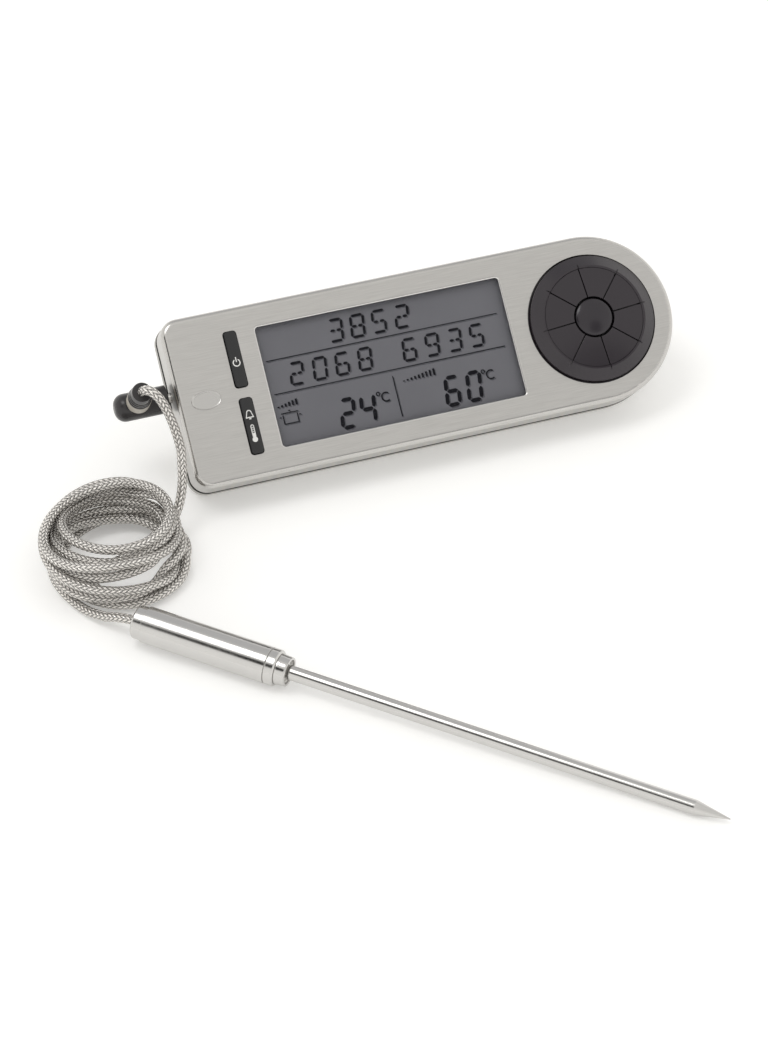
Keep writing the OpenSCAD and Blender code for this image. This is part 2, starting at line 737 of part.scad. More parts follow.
// Front ring, set off from the handle by a fine groove.
module probe_ring() {
    color([0.8, 0.8, 0.8]) probe_placed() translate([0, 0, front_ring_x]) difference() {
        union() {
            cylinder(h = 0.3, r = handle_d / 2 - 0.25);
            translate([0, 0, 0.3]) cylinder(h = handle_l - front_ring_x - 0.7, r = handle_d / 2);
            translate([0, 0, handle_l - front_ring_x - 0.4]) cylinder(h = 0.4, r1 = handle_d / 2, r2 = handle_d / 2 - 0.4);
        }
        translate([0, 0, -1]) cylinder(h = 10, r = root_r);
    }
}

module probe_collar() {
    color([0.8, 0.8, 0.8]) probe_placed() translate([0, 0, handle_l]) difference() {
        cylinder(h = collar_l, r1 = collar_r, r2 = collar_r - 0.2);
        translate([0, 0, -1]) cylinder(h = collar_l + 2, r = root_r);
        translate([0, 0, collar_l - 0.8]) cylinder(h = 1, r = collar_r - 0.9);
    }
}

// Hollow needle with a solid conical point and a slightly thinner root inside the handle.
module probe_needle() {
    root = front_ring_x - 2;
    step = handle_l + collar_l + 0.1;
    bore_r = needle_d / 2 - 0.6;
    color([0.83, 0.83, 0.83]) probe_placed() rotate_extrude() polygon([
        [bore_r, root], [root_r, root], [root_r, step], [needle_d / 2, step], [needle_d / 2, probe_l - tip_l],
        [0.15, probe_l], [0, probe_l], [0, probe_l - tip_l + 2.5], [bore_r, probe_l - tip_l]
    ]);
}

module thermistor() {
    color([0.7, 0.5, 0.2]) probe_placed() translate([0, 0, probe_l - tip_l - 4]) cylinder(h = 4, r = 1.1);
}

module sensor_wires() {
    color([0.8, 0.2, 0.2]) probe_placed() for (s = [-1, 1])
        translate([0.6 * s, 0, cap_l]) cylinder(h = probe_l - tip_l - 4 - cap_l, r = 0.35, $fn = 16);
}

front_shell();
inner_frame();
case_gasket();
rear_shell();
display_lens();
lcd_panel();
lcd_reflector();
contact_strips();
main_board();
board_chips();
buzzer();
switches();
power_button();
alarm_button();
dial();
dial_sectors();
dial_hub();
dial_wiper();
dial_bearing();
detent_spring();
centre_button();
button_plunger();
jack_socket();
batteries();
battery_springs();
battery_plates();
battery_cover();
stand();
stand_pin();
stand_pad();
magnet();
case_screws();
board_screws();
plug_body();
plug_pin();
plug_insulator();
plug_collar();
plug_boot();
cable_lead();
cable_coil();
cable_tail();
probe_end_cap();
probe_handle();
probe_ring();
probe_collar();
probe_needle();
thermistor();
sensor_wires();
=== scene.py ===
"""Probe meat thermometer: brushed steel display unit on its stand, braided cable and steel probe."""

import json
import math

import bmesh
import bpy
import numpy as np
from mathutils import Matrix, Vector


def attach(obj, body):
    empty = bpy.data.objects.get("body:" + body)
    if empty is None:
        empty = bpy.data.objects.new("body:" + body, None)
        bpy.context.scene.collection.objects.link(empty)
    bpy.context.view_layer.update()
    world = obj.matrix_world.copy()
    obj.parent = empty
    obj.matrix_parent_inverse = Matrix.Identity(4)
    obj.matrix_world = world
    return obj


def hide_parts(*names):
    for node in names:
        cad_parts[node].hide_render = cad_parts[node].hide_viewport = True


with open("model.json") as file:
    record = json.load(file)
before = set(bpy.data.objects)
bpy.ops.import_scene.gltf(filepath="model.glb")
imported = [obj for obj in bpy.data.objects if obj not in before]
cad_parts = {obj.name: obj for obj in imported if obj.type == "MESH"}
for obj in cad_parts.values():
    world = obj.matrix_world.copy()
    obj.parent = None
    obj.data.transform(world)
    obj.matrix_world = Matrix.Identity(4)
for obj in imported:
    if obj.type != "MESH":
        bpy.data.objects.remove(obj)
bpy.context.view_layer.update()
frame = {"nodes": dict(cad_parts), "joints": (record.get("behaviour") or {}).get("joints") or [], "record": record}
nodes = frame["nodes"]
MM = 0.001


# ---------------------------------------------------------------- camera

EYE = Vector((-0.2359, -0.68965, 0.62985))
TARGET = Vector((-0.0294, -0.06045, 0.01235))
LENS = 114.4
SENSOR = 36.0


def place_camera():
    data = bpy.data.cameras.new("camera")
    data.sensor_fit = "VERTICAL"
    data.sensor_height = SENSOR
    data.lens = LENS
    data.clip_start = 0.01
    data.clip_end = 10.0
    camera = bpy.data.objects.new("camera", data)
    bpy.context.scene.collection.objects.link(camera)
    camera.location = EYE
    camera.rotation_mode = "QUATERNION"
    camera.rotation_quaternion = (TARGET - EYE).to_track_quat("-Z", "Y")
    bpy.context.scene.camera = camera


place_camera()


# ---------------------------------------------------------------- the unit's face

# The face's own frame: its origin is the middle of the dial, x runs along the casing, z points out of it.
dial_joint = next(j for j in frame["joints"] if j["name"] == "dial_turn")
FACE_X = Vector((1, 0, 0))
FACE_OUT = Vector(dial_joint["axis"]).normalized()
FACE_UP = FACE_OUT.cross(FACE_X)
FACE_ORIGIN = Vector(dial_joint["pos_m"])
FACE_TURN = Matrix((FACE_X, FACE_UP, FACE_OUT)).transposed().to_4x4()
UNIT = Matrix.Translation(FACE_ORIGIN) @ FACE_TURN @ Matrix.Scale(MM, 4)

# Sizes on the face, in mm, as in the CAD.
CASING_HALF = 24.0
CASING_LEFT = -120.8
CASING_CORNER = 5.0
WINDOW_W = 71.5
WINDOW_H = 34.6
WINDOW_CORNER = 1.2
WINDOW_RIGHT = -23.5
WINDOW_MID = WINDOW_RIGHT - WINDOW_W / 2
KEY_X = -102.1
KEY_CROWN_R = 5.0
KEY_TOP = 0.75


# ---------------------------------------------------------------- mesh helpers


def new_object(name, mesh, body):
    piece = bpy.data.objects.new(name, mesh)
    bpy.context.scene.collection.objects.link(piece)
    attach(piece, body)
    return piece


def smooth(mesh, angle):
    mesh.polygons.foreach_set("use_smooth", [True] * len(mesh.polygons))
    mesh.set_sharp_from_angle(angle=math.radians(angle))


def mesh_from(name, points, faces, angle):
    mesh = bpy.data.meshes.new(name)
    mesh.from_pydata([tuple(p) for p in points], [], faces)
    mesh.validate()
    smooth(mesh, angle)
    return mesh


def even_normals(piece):
    """Shades the flat faces of a rounded piece flat, up to its rounded edges."""
    normals = piece.modifiers.new("normals", "WEIGHTED_NORMAL")
    normals.keep_sharp = True
    normals.weight = 80


def round_edges(work, edges, width, steps):
    bmesh.ops.bevel(
        work,
        geom=edges,
        offset=width * MM,
        offset_type="OFFSET",
        segments=steps,
        profile=0.5,
        affect="EDGES",
        clamp_overlap=True,
    )


# Edges bent more than the first angle are rounded; faces that meet at less than the second become one.
SHARP_ANGLE = math.radians(25)
FLAT_ANGLE = math.radians(0.4)
WELD_DISTANCE = 2e-6
# How far an edge may be from the face or from the window, in mm, and still count as being at it.
FACE_TOUCH = 0.05
WINDOW_RIM_DEPTH = 0.7
WINDOW_MARGIN = 1.0


def sharp_edges(work):
    return [e for e in work.edges if len(e.link_faces) == 2 and e.calc_face_angle() > SHARP_ANGLE]


def by_window(edge, depth):
    """Whether an edge lies around the display window, no more than depth mm under the face."""
    mid = UNIT.inverted() @ ((edge.verts[0].co + edge.verts[1].co) / 2)
    along = abs(mid.x - WINDOW_MID) < WINDOW_W / 2 + WINDOW_MARGIN
    up = abs(mid.y) < WINDOW_H / 2 + WINDOW_MARGIN
    return along and up and -depth < mid.z < FACE_TOUCH


def rounded_copy(name, body, width, window_width=None):
    """A CAD node's own shape, its sharp edges rounded by width and its window's by window_width, in mm."""
    work = bmesh.new()
    work.from_mesh(nodes[name].data)
    bmesh.ops.remove_doubles(work, verts=work.verts, dist=WELD_DISTANCE)
    bmesh.ops.dissolve_limit(work, angle_limit=FLAT_ANGLE, verts=work.verts, edges=work.edges)
    if window_width:
        rim = [e for e in sharp_edges(work) if by_window(e, FACE_TOUCH)]
        round_edges(work, rim, window_width, 4)
    edges = sharp_edges(work)
    if window_width:
        edges = [e for e in edges if not by_window(e, WINDOW_RIM_DEPTH)]
    round_edges(work, edges, width, 3)
    mesh = bpy.data.meshes.new(name + "_rounded")
    work.to_mesh(mesh)
    work.free()
    smooth(mesh, 50)
    piece = new_object(name + "_rounded", mesh, body)
    even_normals(piece)
    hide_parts(name)
    return piece


# ---------------------------------------------------------------- the cable's route

CABLE_D = 2.7
COIL_CENTRE = (-98.5, -38.0)

# From the plug's strain relief down to the coil.
LEAD_ROUTE = [
    (-82.1, -10.9, 34.856),
    (-82.1, -11.761, 36.086),
    (-81.9, -12.7, 37.3),
    (-81.2, -13.8, 38.1),
    (-80.1, -14.9, 38.0),
    (-79.0, -15.9, 36.9),
    (-77.9, -16.9, 34.9),
    (-76.9, -18.0, 32.1),
    (-76, -19.3, 28.8),
    (-75.3, -21, 25.2),
    (-75, -23.1, 21.8),
    (-75, -25.4, 18.7),
    (-75.2, -27.9, 15.9),
    (-75.9, -29.9, 13.2),
    (-77.2, -31.6, 10.7),
    (-78.9, -32.9, 8.6),
]
# Under the coil's turns and across its middle, to where its lowest turn starts.
CROSSING = [
    (-82.4, -34.8, 6.6),
    (-87.2, -36.4, 4.4),
    (-92.5, -37.4, 2.4),
    (-98.0, -38.2, 1.6),
    (-103.4, -39.6, 1.6),
    (-108.0, -42.2, 1.6),
]
# From the coil into the probe's handle.
TAIL_ROUTE = [
    (-112.6, -54, 1.4),
    (-111.2, -56, 1.5),
    (-109.2, -58.2, 2.2),
    (-107.2, -60.2, 3.3),
    (-105.2, -62.3, 4.5),
    (-103.2, -64.4, 5.5),
    (-101.6, -66, 6),
    (-100.4, -67.2, 6.102),
]
# Every half turn of the coil: middle (x, y) from the coil's centre, radius, height, slope, slope's bearing.
HALF_TURNS = [
    (1.4, 1.0, 17.4, 1.4, 0.0, 0),
    (2.2, 0.0, 18.1, 1.6, 0.0, 0),
    (1.8, -1.8, 18.0, 3.5, 0.6, 90),
    (0.9, -3.0, 17.4, 5.2, 1.0, 200),
    (-1.8, -1.8, 17.0, 6.8, 2.0, 20),
    (1.9, -2.0, 17.8, 8.0, 2.0, 320),
    (-3.2, 0.6, 17.4, 9.4, 2.4, 270),
    (-1.2, -0.6, 18.0, 10.8, 2.8, 290),
    (-0.2, 1.6, 16.6, 12.0, 2.4, 240),
    (0.8, 2.0, 16.4, 13.8, 2.6, 300),
    (1.2, 1.4, 14.8, 15.6, 1.8, 260),
    (1.0, 0.8, 15.6, 16.2, 2.0, 330),
    (-3.8, -0.2, 17.6, 14.8, 2.2, 300),
    (0.4, 0.6, 18.4, 12.0, 2.0, 100),
    (-2.4, -1.8, 18.8, 9.2, 1.8, 200),
    (0.4, -0.8, 18.7, 4.0, 1.0, 150),
    (0.4, 0.0, 18.9, 1.4, 0.0, 0),
]
START_ANGLE = 226.0
END_ANGLE = 228.6
TURN_STEPS = 36
ROPE_STEP = 1.5
CURVE_STEPS = 12
EASE_STEPS = 4
COIL_EASE_STEPS = 6

# How the rope settles: the number of steps, the gap its turns keep, how far it drops in each step of the
# first share of them, and how many points at its two ends stay where they are.
SETTLE_STEPS = 260
ROPE_GAP = 2.75
SETTLE_SHARE = 0.6
SETTLE_DROP = 0.004
LEAD_HELD = 18
TAIL_HELD = 8
# Points no further apart than this along the rope are neighbours and don't push each other.
NEIGHBOURS = 5
# What share of each correction is made at a time.
BEND_SHARE = 0.12
LINK_SHARE = 0.9
LINK_ROUNDS = 3
PUSH_SHARE = 0.5
SMOOTH_SHARE = 0.4
SMOOTH_ROUNDS = 3


def coil_points():
    """The coil's turns before they settle on each other, as one line."""
    turns = np.array(HALF_TURNS, float)
    last = len(HALF_TURNS) - 1
    whole = last * 180 + END_ANGLE - START_ANGLE
    count = int(whole / 360 * TURN_STEPS)
    points = []
    for i in range(count + 1):
        angle = math.radians(START_ANGLE + whole * i / count)
        place = last * i / count
        k = min(int(place), last - 1)
        t = place - k
        t = t * t * (3 - 2 * t)
        dx, dy, r, z, slope, bearing = turns[k] * (1 - t) + turns[k + 1] * t
        x = COIL_CENTRE[0] + dx + r * math.cos(angle)
        y = COIL_CENTRE[1] + dy + r * math.sin(angle)
        rise = slope * math.cos(angle - math.radians(bearing))
        points.append((x, y, max(CABLE_D / 2, z + rise)))
    return points


def spaced(points, step):
    """Points at an even step along a line through points."""
    points = np.array(points, float)
    run = np.concatenate([[0], np.cumsum(np.linalg.norm(np.diff(points, axis=0), axis=1))])
    count = int(round(run[-1] / step))
    at = np.linspace(0, run[-1], count + 1)
    return np.stack([np.interp(at, run, points[:, k]) for k in range(3)], 1)


def curve_through(points, step):
    """A smooth curve through points, sampled finely and then at an even step."""
    p = np.array(points, float)
    p = np.concatenate([[2 * p[0] - p[1]], p, [2 * p[-1] - p[-2]]])
    fine = []
    for i in range(1, len(p) - 2):
        a, b, c, d = p[i - 1], p[i], p[i + 1], p[i + 2]
        square = 2 * a - 5 * b + 4 * c - d
        cube = 3 * b - a - 3 * c + d
        for t in np.linspace(0, 1, CURVE_STEPS, endpoint=False):
            fine.append((2 * b + (c - a) * t + square * t * t + cube * t**3) / 2)
    fine.append(p[-2])
    return spaced(fine, step)


def straighten(p, free, share):
    """Moves the free points by this share towards the middle of their neighbours."""
    bend = np.zeros_like(p)
    bend[1:-1] = ((p[:-2] + p[2:]) / 2 - p[1:-1]) * share
    p[free] += bend[free]


def keep_links(p, free, link):
    """Brings neighbours back towards their first distances, link."""
    d = p[1:] - p[:-1]
    size = np.linalg.norm(d, axis=1)
    pull = d * ((size - link) / size / 2)[:, None]
    move = np.zeros_like(p)
    move[:-1] += pull
    move[1:] -= pull
    p[free] += move[free] * LINK_SHARE


def push_apart(p, free, pairs):
    """Pushes apart those of the pairs that lie closer than the rope's gap."""
    d = p[None, :, :] - p[:, None, :]
    size = np.sqrt((d**2).sum(2)) + 1e-9
    i, j = np.nonzero((size < ROPE_GAP) & pairs)
    push = d[i, j] / size[i, j][:, None]
    push = push * ((ROPE_GAP - size[i, j]) / 2)[:, None] * PUSH_SHARE
    move = np.zeros_like(p)
    np.add.at(move, i, -push)
    np.add.at(move, j, push)
    p[free] += move[free]


def settle(p):
    """Lets the rope find its place: even links, no sharp bends, no turn inside another, all on the table."""
    index = np.arange(len(p))
    free = (index >= LEAD_HELD) & (index < len(p) - TAIL_HELD)
    link = np.linalg.norm(np.diff(p, axis=0), axis=1)
    pairs = index[None, :] - index[:, None] > NEIGHBOURS
    for step in range(SETTLE_STEPS):
        if step / SETTLE_STEPS < SETTLE_SHARE:
            p[free, 2] -= SETTLE_DROP
        straighten(p, free, BEND_SHARE)
        for _ in range(LINK_ROUNDS):
            keep_links(p, free, link)
        push_apart(p, free, pairs)
        p[free, 2] = np.maximum(p[free, 2], CABLE_D / 2)
    for _ in range(SMOOTH_ROUNDS):
        straighten(p, free, SMOOTH_SHARE)
        p[free, 2] = np.maximum(p[free, 2], CABLE_D / 2)
    return p


def eased(p, steps):
    """The same line with its tight bends opened a little."""
    for _ in range(steps):
        straighten(p, slice(None), 0.5)
    return p


def rope_path():
    """The middle line of the cable from the plug to the probe."""
    lead = eased(curve_through(LEAD_ROUTE, ROPE_STEP), EASE_STEPS)
    tail = eased(curve_through(TAIL_ROUTE, ROPE_STEP), EASE_STEPS)
    coil = [tuple(lead[-1])] + CROSSING + coil_points()[2:-1] + [tuple(tail[0])]
    middle = eased(curve_through(coil, ROPE_STEP), COIL_EASE_STEPS)
    return settle(np.concatenate([lead, middle[1:], tail[1:]]))


# ---------------------------------------------------------------- the cable's braid

# The braid: strands in each direction, length of a full turn, depth between strands, and the mesh's steps.
BRAID_STRANDS = 9
BRAID_LAY = 13.0
BRAID_DEPTH = 0.192
RING_STEP = 0.26
RING_SIDES = 48


def braid_height(along, around):
    """Height of a braid of flat strands, two over and two under, on its own grid of strand widths."""
    a = around + along
    b = around - along
    ia = np.floor(a)
    ib = np.floor(b)
    wave_a = np.sin(np.pi / 2 * (b + ia))
    wave_b = -np.sin(np.pi / 2 * (a + ib))
    crown_a = np.sin(np.pi * (a - ia)) ** 0.7
    crown_b = np.sin(np.pi * (b - ib)) ** 0.7
    high_a = 0.55 * crown_a + 0.45 * wave_a
    high_b = 0.55 * crown_b + 0.45 * wave_b
    return np.maximum(high_a, high_b)


def ring_axes(line):
    """Two directions across the line at each of its points, without twist from one point to the next."""
    tangent = np.gradient(line, axis=0)
    tangent /= np.linalg.norm(tangent, axis=1)[:, None]
    side = np.zeros_like(line)
    v = np.array([1.0, 0.1, 0.2])
    for i, t in enumerate(tangent):
        v = v - (v @ t) * t
        v /= np.linalg.norm(v)
        side[i] = v
    return side, np.cross(tangent, side)


def build_cable():
    """The whole cable as one woven tube, with the braid's own grid as its UV map."""
    coarse = rope_path()
    start = coarse[0] - (coarse[1] - coarse[0]) * 0.5
    end = coarse[-1] + (coarse[-1] - coarse[-2]) * 0.5
    line = curve_through(np.concatenate([[start], coarse, [end]]), RING_STEP)
    side, other = ring_axes(line)
    rings = len(line)
    along = np.arange(rings) * np.linalg.norm(line[1] - line[0]) * BRAID_STRANDS / BRAID_LAY
    turn = np.arange(RING_SIDES) / RING_SIDES
    height = braid_height(along[:, None], turn[None, :] * BRAID_STRANDS)
    radius = CABLE_D / 2 - BRAID_DEPTH * (1 - height)
    cosine = np.cos(turn * 2 * np.pi)[None, :, None]
    sine = np.sin(turn * 2 * np.pi)[None, :, None]
    across = cosine * side[:, None, :] + sine * other[:, None, :]
    points = (line[:, None, :] + radius[:, :, None] * across).reshape(-1, 3) * MM

    i = np.repeat(np.arange(rings - 1), RING_SIDES)
    k = np.tile(np.arange(RING_SIDES), rings - 1)
    j = (k + 1) % RING_SIDES
    here = i * RING_SIDES
    ahead = here + RING_SIDES
    quads = np.stack([here + k, here + j, ahead + j, ahead + k], 1)
    first_ring = tuple(range(RING_SIDES))
    last_ring = tuple(range((rings - 1) * RING_SIDES, rings * RING_SIDES))
    mesh = bpy.data.meshes.new("braided_cable")
    mesh.from_pydata(points.tolist(), [], quads.tolist() + [first_ring[::-1], last_ring])

    u0 = along[i]
    u1 = along[i + 1]
    v0 = k / RING_SIDES * BRAID_STRANDS
    v1 = (k + 1) / RING_SIDES * BRAID_STRANDS
    corners = np.stack([u0, v0, u0, v1, u1, v1, u1, v0], 1).reshape(-1, 2)
    grid = np.zeros((len(mesh.loops), 2), np.float32)
    grid[: len(corners)] = corners
    mesh.uv_layers.new(name="braid").data.foreach_set("uv", grid.ravel())
    mesh.polygons.foreach_set("use_smooth", [True] * len(mesh.polygons))
    cable = new_object("braided_cable", mesh, "lead")
    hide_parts("cable_lead", "cable_coil", "cable_tail")
    return cable, line * MM


cable, cable_line = build_cable()


# ---------------------------------------------------------------- materials


def fill_ramp(ramp, steps):
    """Gives a new colour ramp its stops, each a position and a colour."""
    stops = ramp.color_ramp.elements
    for position, _ in steps[1:-1]:
        stops.new(position)
    for stop, (position, color) in zip(stops, steps):
        stop.position = position
        stop.color = (*color, 1.0)


def grey(level):
    return (level, level, level)


class Paint:
    """A material with its node tree and Principled shader at hand."""

    def __init__(self, name, color, rough, metal=0.0, specular=0.5):
        self.made = bpy.data.materials.new(name)
        self.made.use_nodes = True
        self.tree = self.made.node_tree
        self.shader = self.tree.nodes["Principled BSDF"]
        self.set("Base Color", (*color, 1.0))
        self.set("Roughness", rough)
        self.set("Metallic", metal)
        self.set("Specular IOR Level", specular)

    def set(self, socket, value):
        self.shader.inputs[socket].default_value = value

    def link(self, output, socket):
        self.tree.links.new(output, self.shader.inputs[socket])

    def node(self, kind, **values):
        made = self.tree.nodes.new(kind)
        for key, value in values.items():
            setattr(made, key, value)
        return made

    def noise(self, scale, detail=3.0, rough=0.6):
        """Noise in object coordinates, with its own scale along x, y and z."""
        where = self.node("ShaderNodeTexCoord")
        mapping = self.node("ShaderNodeMapping")
        mapping.inputs["Scale"].default_value = scale
        self.tree.links.new(where.outputs["Object"], mapping.inputs["Vector"])
        made = self.node("ShaderNodeTexNoise")
        made.inputs["Scale"].default_value = 1.0
        made.inputs["Detail"].default_value = detail
        made.inputs["Roughness"].default_value = rough
        self.tree.links.new(mapping.outputs["Vector"], made.inputs["Vector"])
        return made.outputs["Fac"]

    def ranged(self, value, low, high, start=0.25, stop=0.75):
        """The value's range from start to stop, stretched to run from low to high."""
        made = self.node("ShaderNodeMapRange")
        made.inputs["From Min"].default_value = start
        made.inputs["From Max"].default_value = stop
        made.inputs["To Min"].default_value = low
        made.inputs["To Max"].default_value = high
        self.tree.links.new(value, made.inputs["Value"])
        return made.outputs["Result"]

    def tinted(self, value, dark, light):
        """Base colour from dark to light, as value goes from 0 to 1."""
        made = self.node("ShaderNodeMix", data_type="RGBA")
        made.inputs[6].default_value = (*dark, 1.0)
        made.inputs[7].default_value = (*light, 1.0)
        self.tree.links.new(value, made.inputs[0])
        self.link(made.outputs[2], "Base Color")

    def mixed(self, share, a, b):
        """One number from a to b, as share goes from 0 to 1."""
        made = self.node("ShaderNodeMix", data_type="FLOAT")
        self.tree.links.new(share, made.inputs[0])
        self.feed(made.inputs[2], a)
        self.feed(made.inputs[3], b)
        return made.outputs[0]

    def bump(self, value, strength, distance):
        made = self.node("ShaderNodeBump")
        made.inputs["Strength"].default_value = strength
        made.inputs["Distance"].default_value = distance
        self.tree.links.new(value, made.inputs["Height"])
        self.link(made.outputs["Normal"], "Normal")
        return made

    def feed(self, socket, value):
        """Sets a socket to a number, or links it to an output."""
        if isinstance(value, (int, float)):
            socket.default_value = value
        else:
            self.tree.links.new(value, socket)

    def math(self, operation, a, b=0.0):
        made = self.node("ShaderNodeMath", operation=operation)
        self.feed(made.inputs[0], a)
        self.feed(made.inputs[1], b)
        return made.outputs[0]

    def vector(self, operation, a, b):
        """A vector operation on an output and on another output or a constant."""
        made = self.node("ShaderNodeVectorMath", operation=operation)
        self.tree.links.new(a, made.inputs[0])
        if isinstance(b, Vector):
            made.inputs[1].default_value = b
        else:
            self.tree.links.new(b, made.inputs[1])
        return made.outputs["Value" if operation == "DOT_PRODUCT" else "Vector"]


EDGE_ROUGH = 0.17
PROBE_COLOR = (0.62, 0.61, 0.595)
WIRES_PER_STRAND = 4

# Radius of the shallow crown that the shading gives to the dial and to the button, in metres.
DIAL_DOME = 0.1
BUTTON_DOME = 0.03


def rolled_edges(paint):
    """1 where the steel turns over from the face to a side, where brushing leaves it smoother."""
    where = paint.node("ShaderNodeTexCoord")
    facing = paint.vector("DOT_PRODUCT", where.outputs["Normal"], FACE_OUT)
    ramp = paint.node("ShaderNodeValToRGB")
    paint.tree.links.new(facing, ramp.inputs["Fac"])
    fill_ramp(ramp, [(0.3, grey(0.0)), (0.45, grey(1.0)), (0.96, grey(1.0)), (0.995, grey(0.0))])
    return ramp.outputs["Color"]


def brushed_paint():
    """Steel brushed along the casing, smoother where it rolls over its edges."""
    paint = Paint("brushed_steel", (0.55, 0.54, 0.52), 0.36, metal=1.0)
    streaks = paint.noise((130, 5600, 5600), detail=4)
    clouds = paint.noise((18, 40, 40), detail=2)
    paint.tinted(paint.ranged(streaks, 0.0, 1.0), (0.492, 0.481, 0.464), (0.612, 0.6, 0.58))
    rough = paint.math("ADD", paint.ranged(streaks, 0.30, 0.40), paint.ranged(clouds, -0.02, 0.03))
    paint.link(paint.mixed(rolled_edges(paint), rough, EDGE_ROUGH), "Roughness")
    paint.bump(streaks, 0.22, 0.00004)
    return paint.made


def turned_paint(name, color, rough, along):
    """Steel turned on a lathe: fine rings across its axis."""
    paint = Paint(name, color, rough, metal=1.0)
    rings = paint.noise(tuple(6500 * abs(v) + 25 for v in along))
    wear = paint.noise((160, 160, 160))
    gloss = paint.ranged(rings, rough - 0.05, rough + 0.05)
    paint.link(paint.math("ADD", gloss, paint.ranged(wear, -0.02, 0.03)), "Roughness")
    paint.tinted(paint.ranged(wear, 0.2, 0.9), tuple(v * 0.93 for v in color), color)
    paint.bump(rings, 0.12, 0.00002)
    return paint.made


def grain_paint(name, color, rough, scale, depth, metal=0.0, specular=0.5, spread=0.12, dome=None):
    """Moulded or painted surface with a fine grain and slightly uneven gloss; dome is a radius in metres."""
    paint = Paint(name, color, rough, metal=metal, specular=specular)
    grain = paint.noise((scale, scale, scale), rough=0.55)
    clouds = paint.noise((60, 60, 60))
    dark = tuple(v * (1 - spread) for v in color)
    light = tuple(min(1.0, v * (1 + spread)) for v in color)
    paint.tinted(paint.ranged(clouds, 0.0, 1.0), dark, light)
    paint.link(paint.ranged(clouds, rough - 0.04, rough + 0.05), "Roughness")
    bumps = paint.bump(grain, 0.25, depth)
    if dome:
        paint.tree.links.new(domed(paint, FACE_ORIGIN, dome), bumps.inputs["Normal"])
    return paint.made


def domed(paint, centre, radius):
    """Normals as if the surface were a shallow dome of this radius, in metres, about centre."""
    where = paint.node("ShaderNodeTexCoord")
    away = paint.vector("SUBTRACT", where.outputs["Object"], centre)
    square = paint.vector("DOT_PRODUCT", away, away)
    made = paint.node("ShaderNodeBump")
    made.inputs["Strength"].default_value = 1.0
    made.inputs["Distance"].default_value = 1.0
    paint.tree.links.new(paint.math("MULTIPLY", square, -0.5 / radius), made.inputs["Height"])
    return made.outputs["Normal"]


def strand(paint, own, other, sign):
    """Height of one set of strands and of its fine wires; own counts its strands, other those it crosses."""
    whole = paint.math("FLOOR", own)
    share = paint.math("SUBTRACT", own, whole)
    crown = paint.math("SINE", paint.math("MULTIPLY", share, math.pi))
    crown = paint.math("POWER", paint.math("MAXIMUM", crown, 0.0), 0.6)
    wave = paint.math("SINE", paint.math("MULTIPLY", paint.math("ADD", other, whole), math.pi / 2))
    high = paint.math("ADD", paint.math("MULTIPLY", crown, 0.6), paint.math("MULTIPLY", wave, 0.4 * sign))
    wires = paint.math("SINE", paint.math("MULTIPLY", share, WIRES_PER_STRAND * 2 * math.pi))
    return high, wires


def braid_paint():
    """Woven wire: two sets of flat strands, two over and two under, each of several fine wires."""
    paint = Paint("steel_braid", (0.6, 0.59, 0.57), 0.3, metal=1.0)
    where = paint.node("ShaderNodeUVMap", uv_map="braid")
    split = paint.node("ShaderNodeSeparateXYZ")
    paint.tree.links.new(where.outputs["UV"], split.inputs["Vector"])
    along = split.outputs["X"]
    around = split.outputs["Y"]
    a = paint.math("ADD", around, along)
    b = paint.math("SUBTRACT", around, along)
    high_a, wires_a = strand(paint, a, b, 1)
    high_b, wires_b = strand(paint, b, a, -1)
    high = paint.math("MAXIMUM", high_a, high_b)
    wires = paint.mixed(paint.math("GREATER_THAN", high_a, high_b), wires_b, wires_a)
    height = paint.math("ADD", paint.math("MULTIPLY", high, 0.8), paint.math("MULTIPLY", wires, 0.07))
    dull = paint.noise((220, 220, 220))
    # Painted shade and highlight: base colour near black where strands dip, near white on their crowns.
    shade = paint.ranged(height, 0.0, 1.0, 0.2, 0.76)
    painted_light_tone = paint.math("MULTIPLY", shade, paint.ranged(dull, 0.85, 1.0))
    paint.tinted(painted_light_tone, (0.018, 0.015, 0.013), (0.97, 0.94, 0.9))
    paint.link(paint.ranged(dull, 0.12, 0.22), "Roughness")
    paint.bump(height, 1.0, 0.0003)
    return paint.made


def lcd_paint():
    """The grey face of the display with its faint, uneven tint."""
    paint = Paint("lcd_glass", (0.205, 0.206, 0.228), 0.4, specular=0.3)
    tint = paint.noise((40, 40, 40), detail=2)
    grain = paint.noise((5000, 5000, 5000), detail=2)
    paint.tinted(paint.ranged(tint, 0.0, 1.0), (0.195, 0.196, 0.217), (0.215, 0.216, 0.239))
    paint.link(paint.ranged(grain, 0.36, 0.44), "Roughness")
    return paint.made


def glass_paint():
    """Clear window: see-through, with the shine of its front face."""
    paint = Paint("window_glass", (0.02, 0.02, 0.022), 0.06, specular=0.12)
    paint.set("Alpha", 0.1)
    paint.set("IOR", 1.49)
    wipe = paint.noise((30, 120, 120))
    paint.link(paint.ranged(wipe, 0.04, 0.1), "Roughness")
    return paint.made


def ink_paint(name, color, rough, specular=0.5):
    """Print, worn a little unevenly."""
    paint = Paint(name, color, rough, specular=specular)
    wear = paint.noise((2500, 2500, 2500), detail=2)
    paint.tinted(paint.ranged(wear, 0.0, 1.0), tuple(v * 0.88 for v in color), color)
    return paint.made


def shade_paint():
    """The faint shadow that the display's figures throw on its back."""
    paint = Paint("lcd_shade", (0.05, 0.05, 0.07), 0.6)
    paint.set("Alpha", 0.16)
    wear = paint.noise((900, 900, 900), detail=2)
    paint.tinted(paint.ranged(wear, 0.0, 1.0), (0.045, 0.045, 0.062), (0.06, 0.06, 0.08))
    return paint.made


def dial_paint(name, color, depth, metal, specular, dome):
    """Glossy moulded plastic, shaded as if it were slightly domed about the middle of the dial."""
    return grain_paint(name, color, 0.2, 14000, depth, metal, specular, spread=0.06, dome=dome)


